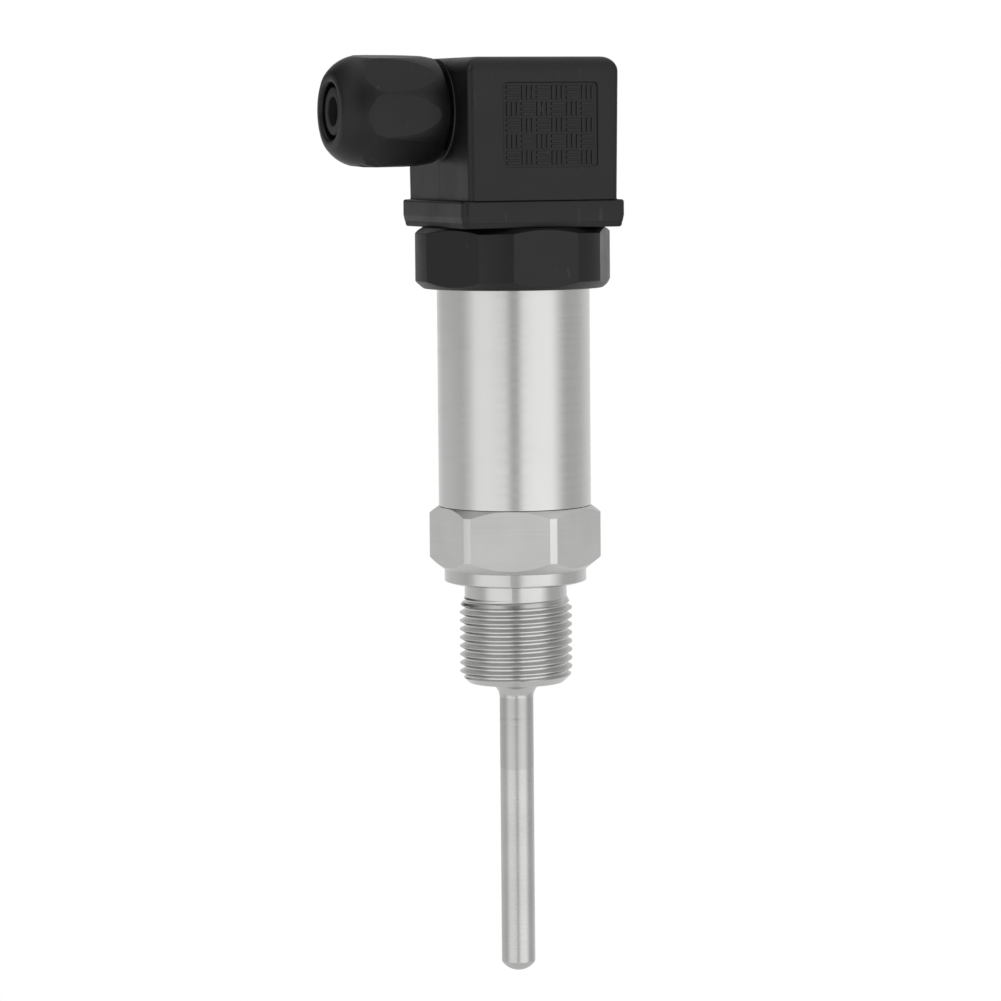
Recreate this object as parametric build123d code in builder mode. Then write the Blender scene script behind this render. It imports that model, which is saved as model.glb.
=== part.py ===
from build123d import *
from math import acos, asin, atan, degrees, radians, sin
import os

# Resistance thermometer: an immersion stem, a threaded process fitting, a tube with the
# electronics in it, and a square cable plug on a hexagonal plastic base.
# Z points up, the origin is on the axis at the sealing face, the cable gland points along -X.

os.makedirs("parts", exist_ok=True)

# Clearances
press_gap = 0.05
slide_gap = 0.15
seat_gap = 0.1
edge_break = 0.3

# Immersion stem
insertion_length = 70.0
stem_diameter = 6.0
stem_wall = 0.5
stem_dome_radius = 3.6
stem_dome_edge = 0.8
stem_reach_in_fitting = 8.0
stem_fit_diameter = 5.6

# Measuring element, its insulator and its leads
element_diameter = 3.2
element_length = 12.0
insulator_diameter = 4.4
insulator_top = -6.0
lead_diameter = 0.8
lead_pitch = 1.35
lead_clearance = 0.1
lead_reach_on_board = 6.9

# Process fitting
thread_diameter = 20.0
thread_length = 17.8
thread_end_chamfer = 1.5
thread_start_bevel = 0.9
undercut_diameter = 18.16
undercut_height = 3.4
nose_radius = 2.2
nose_land = 0.2
collar_diameter = 25.2
collar_height = 2.45
collar_chamfer_radial = 1.2
collar_chamfer_height = 0.4
hex_across_flats = 27.0
hex_corner_diameter = 30.4
hex_height = 11.25
hex_low_chamfer = 2.1
hex_high_rim = 27.0
hex_high_chamfer = 1.25
hex_turn = 34.3
wire_chamber_diameter = 16.0
wire_chamber_floor = 9.0
spigot_height = 5.0

# O-rings, one on the fitting and one on the plastic base
ring_section = 1.2
ring_groove_width = 1.7
ring_height_in_spigot = 2.5

# Body tube
tube_diameter = 27.0
tube_wall = 1.4
tube_length = 41.7

# Circuit board
board_width = 20.0
board_thickness = 1.6
board_end_gap = 0.45
board_face = -0.45
carrier_height = 3.0
carrier_floor = 0.8
carrier_wire_hole = 5.0
board_corner = 1.5
chip_size = 5.0
chip_height = 1.1
chip_spacing = 4.2
wire_diameter = 1.0
wire_length = 9.5
wire_bend = 1.5

# Plastic base under the plug
base_across_flats = 32.9
base_corner_diameter = 35.0
base_height = 10.8
base_low_rim = 32.0
base_low_chamfer = 1.4
base_high_rim = 31.8
base_high_chamfer = 1.0
base_turn = -1.5
tube_in_base = 3.15
base_spigot_depth = 3.3

# Flat contact tabs
tab_width = 6.3
tab_thickness = 0.8
tab_reach = 10.4
tab_tail = 1.0
tab_tail_width = 2.4
terminal_wall_gap = 0.65
tab_point = 0.9
tab_shoulder = 1.2

# Flat gasket between base and plug
gasket_thickness = 0.9
gasket_inset = 0.25
gasket_window = 23.6
gasket_corner = 1.4

# Plug housing
flange_width = 30.5
flange_height = 3.8
flange_corner = 1.3
flange_edge = 0.45
housing_width = 27.8
housing_depth = 30.0
housing_height = 24.8
housing_flare = 0.25
housing_corner = 2.2
housing_top_edge = 2.0
housing_wall = 1.9
housing_roof = 2.2
panel_width = 17.6
panel_height = 14.6
panel_centre_x = 1.2
panel_centre_above_flange = 13.0
panel_depth = 0.3
panel_corner = 0.8

# Central screw of the plug
screw_diameter = 3.0
screw_play = 0.1
screw_head_diameter = 5.6
screw_head_height = 2.2
screw_slot_width = 0.8
screw_slot_depth = 1.0
screw_engagement = 6.0
recess_diameter = 6.8
recess_depth = 4.6
recess_floor = 2.0
washer_thickness = 0.6
insert_diameter = 5.0
insert_length = 8.0
insert_pocket = 1.2

# Contact insert in the plug and its contacts
insert_block_height = 11.6
column_diameter = 6.8
contact_leaf = 0.7
contact_floor = 0.7
terminal_size = 5.4
terminal_height = 4.6
terminal_wire_hole = 2.4
terminal_screw_diameter = 3.0
terminal_screw_head = 4.6
terminal_screw_head_height = 1.6
terminal_screw_slot = 0.7

# Cable gland
gland_above_flange = 15.65
gland_collar_diameter = 17.8
gland_collar_height = 0.35
gland_thread_diameter = 15.8
gland_thread_length = 10.0
gland_seat_diameter = 12.6
gland_seat_depth = 5.5
gland_mouth_chamfer = 0.8
cable_passage_diameter = 9.2
nut_across_flats = 18.9
nut_corner_diameter = 20.4
nut_rear_diameter = 18.3
nut_gap = 1.1
nut_length = 18.7
nut_crest_from_rear = 11.05
nut_corner_reach = 1.9
nut_shoulder_diameter = 19.4
nut_shoulder_radius = 6.75
nut_shoulder_lead = 9.0
nut_face_diameter = 13.2
nut_front_wall = 5.8
nut_opening = 10.0
nut_opening_chamfer = 0.35
nut_turn = 17.5
gland_washer_thickness = 1.0
grommet_nose_diameter = 8.4
grommet_bore = 5.1
grommet_recess = 0.6

# Places that follow from the sizes above
nose_end = -thread_length - nose_radius
fitting_top = collar_height + hex_height
spigot_top = fitting_top + spigot_height
tube_bore = tube_diameter - 2 * tube_wall
tube_bottom = fitting_top + press_gap
tube_top = tube_bottom + tube_length
base_bottom = tube_top - tube_in_base
spigot_bottom = base_bottom - base_spigot_depth
base_top = base_bottom + base_height
gasket_top = base_top + gasket_thickness
flange_bottom = gasket_top + press_gap
flange_top = flange_bottom + flange_height
housing_top = flange_top + housing_height
gland_height = flange_top + gland_above_flange
face_x = housing_width / 2
face_y = housing_depth / 2
cavity_width = housing_width - 2 * housing_wall
tab_circle_radius = (cavity_width - terminal_size) / 2 - terminal_wall_gap


def turned_hexagon(
    across_flats, corner_diameter, bottom, height, low_rim, low_chamfer, high_rim, high_chamfer, turn
):
    """A hexagon whose corners and both ends are turned down to cones on the lathe."""
    with BuildPart() as blank:
        with BuildSketch(Plane.XY.offset(bottom)):
            RegularPolygon(radius=across_flats / 2, side_count=6, major_radius=False, rotation=turn)
        extrude(amount=height)
        with BuildSketch(Plane.XZ):
            Polygon(
                (0, bottom),
                (low_rim / 2, bottom),
                (corner_diameter / 2, bottom + low_chamfer),
                (corner_diameter / 2, bottom + height - high_chamfer),
                (high_rim / 2, bottom + height),
                (0, bottom + height),
                align=None,
            )
        revolve(axis=Axis.Z, mode=Mode.INTERSECT)
    return blank.part


def o_ring(middle, groove_diameter):
    """A rubber ring of round section, lying in a groove of the given bottom diameter."""
    with BuildPart() as ring:
        with BuildSketch(Plane.XZ):
            with Locations(((groove_diameter + ring_section) / 2 + press_gap, middle)):
                Circle(ring_section / 2)
        revolve(axis=Axis.Z)
    return ring.part


# Probe sheath: a drawn stainless tube, closed at its tip by a low dome and ground down to its fit
# in the fitting
sheath_inner = stem_diameter / 2 - stem_wall
with BuildPart() as probe_sheath:
    with BuildSketch(Plane.XZ):
        with BuildLine():
            tip = -insertion_length
            dome_rise = stem_dome_radius - (stem_dome_radius**2 - (stem_diameter / 2) ** 2) ** 0.5
            dome = RadiusArc((0, tip), (stem_diameter / 2, tip + dome_rise), -stem_dome_radius)
            Polyline(
                dome @ 1,
                (stem_diameter / 2, nose_end - press_gap),
                (stem_fit_diameter / 2, nose_end - press_gap),
                (stem_fit_diameter / 2, stem_reach_in_fitting),
                (sheath_inner, stem_reach_in_fitting),
                (sheath_inner, tip + dome_rise),
                (0, tip + stem_wall * 2),
                dome @ 0,
            )
        make_face()
    revolve(axis=Axis.Z)
    rings = probe_sheath.edges().filter_by(GeomType.CIRCLE)
    outer_rings = rings.filter_by(lambda ring: round(ring.radius, 3) == stem_diameter / 2)
    fillet(outer_rings.sort_by(Axis.Z)[0], stem_dome_edge)
probe_sheath.part.label = "probe_sheath"
export_step(probe_sheath.part, "parts/probe_sheath.step")

# Measuring element: a glazed ceramic rod with the winding inside
element_bottom = -insertion_length + dome_rise + edge_break
element_top = element_bottom + element_length
with BuildPart() as pt100_element:
    with BuildSketch(Plane.XY.offset(element_bottom)):
        Circle(element_diameter / 2)
    extrude(amount=element_length)
    chamfer(pt100_element.edges().filter_by(GeomType.CIRCLE), edge_break)
pt100_element.part.label = "pt100_element"
export_step(pt100_element.part, "parts/pt100_element.step")

# Ceramic insulator: a rod with one bore for each lead
insulator_bottom = element_top + slide_gap
with BuildPart() as ceramic_insulator:
    with BuildSketch(Plane.XY.offset(insulator_bottom)):
        Circle(insulator_diameter / 2)
        with GridLocations(lead_pitch, 0, 3, 1):
            Circle(lead_diameter / 2 + lead_clearance, mode=Mode.SUBTRACT)
    extrude(amount=insulator_top - insulator_bottom)
ceramic_insulator.part.label = "ceramic_insulator"
export_step(ceramic_insulator.part, "parts/ceramic_insulator.step")

# Sensor leads: three insulated wires from the element to the board
board_bottom = spigot_top + carrier_floor + press_gap
lead_top = board_bottom + lead_reach_on_board
with BuildPart() as sensor_leads:
    with BuildSketch(Plane.XY.offset(element_top)):
        with GridLocations(lead_pitch, 0, 3, 1):
            Circle(lead_diameter / 2)
    extrude(amount=lead_top - element_top)
sensor_leads.part.label = "sensor_leads"
export_step(sensor_leads.part, "parts/sensor_leads.step")

# Process fitting: turned from hexagon bar, with nose, threaded shank, undercut, collar and spigot
fitting_hexagon = turned_hexagon(
    hex_across_flats,
    hex_corner_diameter,
    collar_height,
    hex_height,
    collar_diameter,
    hex_low_chamfer,
    hex_high_rim,
    hex_high_chamfer,
    hex_turn,
)
stem_bore = stem_fit_diameter / 2 + press_gap
land_radius = stem_bore + nose_land
spigot_radius = tube_bore / 2 - press_gap
groove_radius = tube_bore / 2 - ring_section - 2 * press_gap
groove_middle = fitting_top + ring_height_in_spigot
with BuildPart() as process_fitting:
    add(fitting_hexagon)
    with BuildSketch(Plane.XZ):
        with BuildLine():
            nose = CenterArc((land_radius + nose_radius, nose_end), nose_radius, 90, 90)
            Polyline(
                nose @ 0,
                (thread_diameter / 2 - thread_end_chamfer, -thread_length),
                (thread_diameter / 2, -thread_length + thread_end_chamfer),
                (thread_diameter / 2, -undercut_height - thread_start_bevel),
                (undercut_diameter / 2, -undercut_height + thread_start_bevel),
                (undercut_diameter / 2, 0),
                (collar_diameter / 2 - collar_chamfer_radial, 0),
                (collar_diameter / 2, collar_chamfer_height),
                (collar_diameter / 2, collar_height + edge_break),
                (spigot_radius, collar_height + edge_break),
                (spigot_radius, groove_middle - ring_groove_width / 2),
                (groove_radius, groove_middle - ring_groove_width / 2),
                (groove_radius, groove_middle + ring_groove_width / 2),
                (spigot_radius, groove_middle + ring_groove_width / 2),
                (spigot_radius, spigot_top),
                (0, spigot_top),
                (0, nose_end),
                nose @ 1,
            )
        make_face()
    revolve(axis=Axis.Z)
    with BuildSketch(Plane.XY.offset(nose_end)):
        Circle(stem_bore)
    extrude(amount=spigot_top - nose_end, mode=Mode.SUBTRACT)
    with BuildSketch(Plane.XY.offset(wire_chamber_floor)):
        Circle(wire_chamber_diameter / 2)
    extrude(amount=spigot_top - wire_chamber_floor, mode=Mode.SUBTRACT)
process_fitting.part.label = "process_fitting"
export_step(process_fitting.part, "parts/process_fitting.step")

# Sealing ring between fitting and tube
body_o_ring = o_ring(groove_middle, 2 * groove_radius)
body_o_ring.label = "body_o_ring"
export_step(body_o_ring, "parts/body_o_ring.step")

# Body tube: a cut length of stainless tube, its ends lightly broken
with BuildPart() as body_tube:
    with BuildSketch(Plane.XY.offset(tube_bottom)):
        Circle(tube_diameter / 2)
        Circle(tube_bore / 2, mode=Mode.SUBTRACT)
    extrude(amount=tube_length)
    chamfer(body_tube.faces().sort_by(Axis.Z)[0].outer_wire().edges(), edge_break)
body_tube.part.label = "body_tube"
export_step(body_tube.part, "parts/body_tube.step")

# Board carrier: a plastic disc on the spigot, slotted for the board and open for the leads
carrier_top = spigot_top + carrier_height
slot_floor = board_bottom - press_gap
board_middle_y = board_face - board_thickness / 2
with BuildPart() as board_carrier:
    with BuildSketch(Plane.XY.offset(spigot_top)):
        Circle(tube_bore / 2 - slide_gap)
        Circle(carrier_wire_hole / 2, mode=Mode.SUBTRACT)
    extrude(amount=carrier_height)
    with BuildSketch(Plane.XY.offset(slot_floor)):
        with Locations((0, board_middle_y)):
            Rectangle(board_width + 2 * press_gap, board_thickness + 2 * press_gap)
    extrude(amount=carrier_height, mode=Mode.SUBTRACT)
board_carrier.part.label = "board_carrier"
export_step(board_carrier.part, "parts/board_carrier.step")

# Circuit board: stands in the carrier's slot, its top corners cut back
board_height = spigot_bottom - tab_tail - board_end_gap - board_bottom
board_plane = Plane(origin=(0, board_face, board_bottom), x_dir=(1, 0, 0), z_dir=(0, -1, 0))
with BuildPart() as circuit_board:
    with BuildSketch(board_plane) as board_outline:
        Rectangle(board_width, board_height, align=(Align.CENTER, Align.MIN))
        chamfer(board_outline.vertices().group_by(Axis.Y)[-1], board_corner)
    extrude(amount=board_thickness)
circuit_board.part.label = "circuit_board"
export_step(circuit_board.part, "parts/circuit_board.step")

# Board components: the chips on the front and the power parts on the back of the board
board_back_plane = board_plane.offset(board_thickness)
with BuildPart() as board_components:
    with BuildSketch(board_plane):
        with Locations((0, lead_top - board_bottom + chip_spacing)):
            Rectangle(chip_size, chip_size)
    extrude(amount=-chip_height)
    with BuildSketch(board_back_plane):
        with GridLocations(chip_spacing * 2, chip_spacing * 2, 2, 2):
            with Locations((0, board_height / 2)):
                Rectangle(chip_size, chip_size)
    extrude(amount=chip_height)
    chamfer(board_components.edges().filter_by(Axis.Z), edge_break)
board_components.part.label = "board_components"
export_step(board_components.part, "parts/board_components.step")

# Connector leads: two straight wires and one bent wire from the board to the tabs
wire_inset = tab_thickness / 2 + wire_diameter / 2 + press_gap
wire_y = board_face + wire_diameter / 2 + press_gap
wire_end = spigot_bottom - seat_gap
wire_start = wire_end - wire_length
wire_far_y = tab_circle_radius - wire_inset
with BuildPart() as connector_leads:
    with BuildSketch(Plane.XY.offset(wire_start)):
        with Locations((0, wire_y)):
            with GridLocations(2 * wire_far_y, 0, 2, 1):
                Circle(wire_diameter / 2)
    extrude(amount=wire_end - wire_start)
    with BuildLine() as bent_path:
        FilletPolyline(
            (0, wire_y, wire_start - wire_bend),
            (0, wire_y, wire_start + wire_bend),
            (0, wire_far_y, wire_end - 2 * wire_bend),
            (0, wire_far_y, wire_end),
            radius=wire_bend,
        )
    with BuildSketch(Plane(origin=bent_path.line @ 0, z_dir=bent_path.line % 0)):
        Circle(wire_diameter / 2)
    sweep(path=bent_path.line)
connector_leads.part.label = "connector_leads"
export_step(connector_leads.part, "parts/connector_leads.step")


def tab_blade(angle, gap=0.0):
    """A flat contact tab with a narrow tail and a pointed top; its flat side faces outwards."""
    outward = Vector(1, 0, 0).rotate(Axis.Z, angle)
    sideways = Vector(0, 1, 0).rotate(Axis.Z, angle)
    half = tab_width / 2 + gap
    half_tail = tab_tail_width / 2 + gap
    shoulder = spigot_bottom + tab_shoulder - gap
    top = base_top + tab_reach
    with BuildPart() as blade:
        with BuildSketch(Plane(origin=outward * tab_circle_radius, x_dir=sideways, z_dir=outward)):
            Polygon(
                (-half_tail, spigot_bottom - tab_tail),
                (half_tail, spigot_bottom - tab_tail),
                (half_tail, shoulder),
                (half, shoulder),
                (half, top - tab_point),
                (half - tab_point, top),
                (tab_point - half, top),
                (-half, top - tab_point),
                (-half, shoulder),
                (-half_tail, shoulder),
                align=None,
            )
        extrude(amount=tab_thickness / 2 + gap, both=True)
    return blade.part


# Contact tabs: three tin-plated brass tabs, moulded into the base, and the earth tab opposite the third
contact_angles = (0, 90, 180)
earth_angle = 270
with BuildPart() as contact_tabs:
    for angle in contact_angles:
        add(tab_blade(angle))
contact_tabs.part.label = "contact_tabs"
export_step(contact_tabs.part, "parts/contact_tabs.step")

earth_tab = tab_blade(earth_angle)
earth_tab.label = "earth_tab"
export_step(earth_tab, "parts/earth_tab.step")

# Connector base: a hexagon moulding that caps the tube and carries the tabs and the threaded insert
base_hexagon = turned_hexagon(
    base_across_flats,
    base_corner_diameter,
    base_bottom,
    base_height,
    base_low_rim,
    base_low_chamfer,
    base_high_rim,
    base_high_chamfer,
    base_turn,
)
base_groove_middle = spigot_bottom + ring_height_in_spigot
tube_seat = tube_top + press_gap
screw_bore = screw_diameter / 2 + screw_play
with BuildPart() as connector_base:
    add(base_hexagon)
    with BuildSketch(Plane.XY.offset(base_bottom)):
        Circle(tube_diameter / 2 + press_gap)
    extrude(amount=tube_seat - base_bottom, mode=Mode.SUBTRACT)
    with BuildSketch(Plane.XZ):
        Polygon(
            (0, spigot_bottom),
            (spigot_radius, spigot_bottom),
            (spigot_radius, base_groove_middle - ring_groove_width / 2),
            (groove_radius, base_groove_middle - ring_groove_width / 2),
            (groove_radius, base_groove_middle + ring_groove_width / 2),
            (spigot_radius, base_groove_middle + ring_groove_width / 2),
            (spigot_radius, tube_seat),
            (0, tube_seat),
            align=None,
        )
    revolve(axis=Axis.Z)
    with BuildSketch(Plane.XY.offset(base_top)):
        Circle(insert_diameter / 2 + press_gap)
    extrude(amount=-insert_length - press_gap, mode=Mode.SUBTRACT)
    with BuildSketch(Plane.XY.offset(base_top)):
        Circle(screw_bore)
    extrude(amount=-insert_length - insert_pocket, mode=Mode.SUBTRACT)
    for angle in (*contact_angles, earth_angle):
        add(tab_blade(angle, press_gap), mode=Mode.SUBTRACT)
connector_base.part.label = "connector_base"
export_step(connector_base.part, "parts/connector_base.step")

# Sealing ring between base and tube
base_o_ring = o_ring(base_groove_middle, 2 * groove_radius)
base_o_ring.label = "base_o_ring"
export_step(base_o_ring, "parts/base_o_ring.step")

# Threaded insert: a brass bush pressed into the middle of the base for the central screw
with BuildPart() as threaded_insert:
    with BuildSketch(Plane.XY.offset(base_top)):
        Circle(insert_diameter / 2)
        Circle(screw_bore, mode=Mode.SUBTRACT)
    extrude(amount=-insert_length)
threaded_insert.part.label = "threaded_insert"
export_step(threaded_insert.part, "parts/threaded_insert.step")

# Profile gasket: a flat square rubber frame that lies on the base, under the plug's flange
with BuildPart() as profile_gasket:
    with BuildSketch(Plane.XY.offset(base_top)):
        gasket_width = flange_width - 2 * gasket_inset
        RectangleRounded(gasket_width, gasket_width, gasket_corner)
        RectangleRounded(gasket_window, gasket_window, gasket_corner, mode=Mode.SUBTRACT)
    extrude(amount=gasket_thickness)
profile_gasket.part.label = "profile_gasket"
export_step(profile_gasket.part, "parts/profile_gasket.step")

# Places along the gland's axis, counted outwards from the plug's middle
gland_plane = Plane(origin=(0, 0, gland_height), x_dir=(-1, 0, 0), z_dir=(0, 1, 0))
gland_axis = Axis(origin=(0, 0, gland_height), direction=(-1, 0, 0))
gland_face = face_x + gland_collar_height
boss_end = gland_face + gland_thread_length
boss_seat = boss_end - gland_seat_depth
nut_rear = gland_face + nut_gap
nut_front = nut_rear + nut_length
nut_shelf = nut_front - nut_front_wall
gland_washer_front = nut_shelf - seat_gap
gland_washer_rear = gland_washer_front - gland_washer_thickness

# Plug housing: a moulded square hood with flange, gland boss, sunk panel and a well for the screw
roof_underside = housing_top - housing_roof
recess_bottom = housing_top - recess_depth
well_bottom = recess_bottom - recess_floor
panel_floor = face_y + housing_flare / 2 - panel_depth
with BuildPart() as plug_housing:
    with BuildSketch(Plane.XY.offset(flange_bottom)):
        RectangleRounded(flange_width, flange_width, flange_corner)
    extrude(amount=flange_height)
    fillet(plug_housing.edges().group_by(Axis.Z)[-1], flange_edge)
    with BuildSketch(Plane.XY.offset(flange_top)):
        RectangleRounded(housing_width, housing_depth, housing_corner)
    extrude(amount=housing_height, taper=-degrees(atan(housing_flare / housing_height)))
    fillet(plug_housing.faces().sort_by(Axis.Z)[-1].edges(), housing_top_edge)
    with BuildSketch(gland_plane):
        Polygon(
            (face_x - housing_wall, 0),
            (face_x - housing_wall, gland_collar_diameter / 2),
            (gland_face, gland_collar_diameter / 2),
            (gland_face, gland_thread_diameter / 2),
            (boss_end - edge_break, gland_thread_diameter / 2),
            (boss_end, gland_thread_diameter / 2 - edge_break),
            (boss_end, 0),
            align=None,
        )
    revolve(axis=gland_axis)
    with BuildSketch(Plane.XZ.offset(panel_floor)):
        with Locations((panel_centre_x, flange_top + panel_centre_above_flange)):
            RectangleRounded(panel_width, panel_height, panel_corner)
    extrude(amount=panel_depth + housing_flare, mode=Mode.SUBTRACT)
    with BuildSketch(Plane.XY.offset(flange_bottom)):
        RectangleRounded(cavity_width, cavity_width, housing_corner - edge_break)
    extrude(amount=roof_underside - flange_bottom, mode=Mode.SUBTRACT)
    with BuildSketch(Plane.XY.offset(well_bottom)):
        Circle(recess_diameter / 2 + housing_wall)
    extrude(amount=roof_underside - well_bottom + edge_break)
    with BuildSketch(Plane.XY.offset(recess_bottom)):
        Circle(recess_diameter / 2)
    extrude(amount=recess_depth, mode=Mode.SUBTRACT)
    with BuildSketch(Plane.XY.offset(well_bottom)):
        Circle(screw_bore)
    extrude(amount=recess_depth, mode=Mode.SUBTRACT)
    with BuildSketch(gland_plane):
        Polygon(
            (face_x - 2 * housing_wall, 0),
            (face_x - 2 * housing_wall, cable_passage_diameter / 2),
            (boss_seat, cable_passage_diameter / 2),
            (boss_seat, gland_seat_diameter / 2),
            (boss_end - gland_mouth_chamfer, gland_seat_diameter / 2),
            (boss_end, gland_seat_diameter / 2 + gland_mouth_chamfer),
            (boss_end, 0),
            align=None,
        )
    revolve(axis=gland_axis, mode=Mode.SUBTRACT)
plug_housing.part.label = "plug_housing"
export_step(plug_housing.part, "parts/plug_housing.step")

# Contact insert: a square moulding snapped into the plug, with a pocket for each contact
block_bottom = flange_bottom + seat_gap
block_top = block_bottom + insert_block_height
block_width = cavity_width - 2 * slide_gap
leaf_gap = tab_thickness + 2 * slide_gap
contact_depth = leaf_gap + 2 * contact_leaf
contact_bottom = block_bottom + contact_floor + seat_gap
with BuildPart() as contact_insert:
    with BuildSketch(Plane.XY.offset(block_bottom)):
        RectangleRounded(block_width, block_width, housing_corner - edge_break)
    extrude(amount=insert_block_height)
    with BuildSketch(Plane.XY.offset(block_bottom)):
        Circle(column_diameter / 2)
    extrude(amount=well_bottom - slide_gap - block_bottom)
    with BuildSketch(Plane.XY.offset(block_bottom)):
        Circle(screw_bore)
        with PolarLocations(tab_circle_radius, 4):
            Rectangle(leaf_gap, tab_width + 2 * slide_gap)
    extrude(amount=well_bottom - block_bottom, mode=Mode.SUBTRACT)
    with BuildSketch(Plane.XY.offset(block_bottom + contact_floor)):
        with PolarLocations(tab_circle_radius, 4):
            Rectangle(contact_depth + 2 * press_gap, tab_width + 2 * slide_gap)
    extrude(amount=insert_block_height, mode=Mode.SUBTRACT)
contact_insert.part.label = "contact_insert"
export_step(contact_insert.part, "parts/contact_insert.step")

# Female contacts: folded brass clips, each with a screw terminal on top
terminal_bottom = block_top + seat_gap
terminal_top = terminal_bottom + terminal_height
leaf_roof = base_top + tab_reach + slide_gap
wire_hole_height = terminal_bottom + terminal_wire_hole / 2 + edge_break
terminal_bore = terminal_screw_diameter / 2 + press_gap
with BuildPart() as female_contacts:
    with BuildSketch(Plane.XY.offset(contact_bottom)):
        with PolarLocations(tab_circle_radius, 4):
            Rectangle(contact_depth, tab_width)
    extrude(amount=terminal_bottom - contact_bottom)
    with BuildSketch(Plane.XY.offset(contact_bottom)):
        with PolarLocations(tab_circle_radius, 4):
            Rectangle(leaf_gap, tab_width)
    extrude(amount=leaf_roof - contact_bottom, mode=Mode.SUBTRACT)
    with BuildSketch(Plane.XY.offset(terminal_bottom)):
        with PolarLocations(tab_circle_radius, 4):
            Rectangle(terminal_size, terminal_size)
    extrude(amount=terminal_height)
    with BuildSketch(Plane.XY.offset(wire_hole_height)):
        with PolarLocations(tab_circle_radius, 4):
            Circle(terminal_bore)
    extrude(amount=terminal_height, mode=Mode.SUBTRACT)
    for sideways in (Plane.XZ, Plane.YZ):
        with BuildSketch(sideways):
            with Locations((0, wire_hole_height)):
                Circle(terminal_wire_hole / 2)
        extrude(amount=face_y, both=True, mode=Mode.SUBTRACT)
female_contacts.part.label = "female_contacts"
export_step(female_contacts.part, "parts/female_contacts.step")

# Terminal screws: one slotted screw in the top of each contact
terminal_screw_bottom = wire_hole_height + terminal_wire_hole / 2
with BuildPart() as terminal_screws:
    with BuildSketch(Plane.XY.offset(terminal_screw_bottom)):
        with PolarLocations(tab_circle_radius, 4):
            Circle(terminal_screw_diameter / 2)
    extrude(amount=terminal_top - terminal_screw_bottom + edge_break)
    with BuildSketch(Plane.XY.offset(terminal_top)):
        with PolarLocations(tab_circle_radius, 4):
            Circle(terminal_screw_head / 2)
    extrude(amount=terminal_screw_head_height)
    with BuildSketch(Plane.XY.offset(terminal_top + terminal_screw_head_height)):
        with PolarLocations(tab_circle_radius, 4):
            Rectangle(terminal_screw_head, terminal_screw_slot)
    extrude(amount=-terminal_screw_slot, mode=Mode.SUBTRACT)
terminal_screws.part.label = "terminal_screws"
export_step(terminal_screws.part, "parts/terminal_screws.step")

# Screw washer: a steel ring on the floor of the screw's well
washer_bottom = recess_bottom + press_gap
washer_top = washer_bottom + washer_thickness
with BuildPart() as screw_washer:
    with BuildSketch(Plane.XY.offset(washer_bottom)):
        Circle(screw_head_diameter / 2)
        Circle(screw_bore, mode=Mode.SUBTRACT)
    extrude(amount=washer_thickness)
screw_washer.part.label = "screw_washer"
export_step(screw_washer.part, "parts/screw_washer.step")

# Fixing screw: a long slotted cheese-head screw through the plug into the base
head_bottom = washer_top + press_gap
head_top = head_bottom + screw_head_height
with BuildPart() as fixing_screw:
    with BuildSketch(Plane.XY.offset(base_top - screw_engagement)):
        Circle(screw_diameter / 2)
    extrude(amount=head_bottom - base_top + screw_engagement)
    chamfer(fixing_screw.edges().sort_by(Axis.Z)[0], edge_break)
    with BuildSketch(Plane.XY.offset(head_bottom)):
        Circle(screw_head_diameter / 2)
    extrude(amount=screw_head_height)
    chamfer(fixing_screw.edges().sort_by(Axis.Z)[-1], edge_break)
    with BuildSketch(Plane.XY.offset(head_top)):
        Rectangle(screw_head_diameter, screw_slot_width)
    extrude(amount=-screw_slot_depth, mode=Mode.SUBTRACT)
fixing_screw.part.label = "fixing_screw"
export_step(fixing_screw.part, "parts/fixing_screw.step")

# Cable grommet: a rubber bush in the boss, its nose showing in the nut's opening
grommet_radius = gland_seat_diameter / 2 - slide_gap
grommet_shoulder = gland_washer_rear - seat_gap
grommet_front = nut_front - grommet_recess
with BuildPart() as cable_grommet:
    with BuildSketch(gland_plane):
        Polygon(
            (boss_seat + seat_gap, grommet_bore / 2),
            (boss_seat + seat_gap, grommet_radius),
            (grommet_shoulder, grommet_radius),
            (grommet_shoulder, grommet_nose_diameter / 2),
            (grommet_front, grommet_nose_diameter / 2),
            (grommet_front, grommet_bore / 2),
            align=None,
        )
    revolve(axis=gland_axis)
cable_grommet.part.label = "cable_grommet"
export_step(cable_grommet.part, "parts/cable_grommet.step")

# Gland washer: a slip ring between grommet and nut
nut_bore = gland_thread_diameter / 2 + slide_gap
with BuildPart() as gland_washer:
    with BuildSketch(gland_plane):
        Polygon(
            (gland_washer_rear, grommet_nose_diameter / 2 + slide_gap),
            (gland_washer_rear, nut_bore - slide_gap),
            (gland_washer_front, nut_bore - slide_gap),
            (gland_washer_front, grommet_nose_diameter / 2 + slide_gap),
            align=None,
        )
    revolve(axis=gland_axis)
gland_washer.part.label = "gland_washer"
export_step(gland_washer.part, "parts/gland_washer.step")

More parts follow.
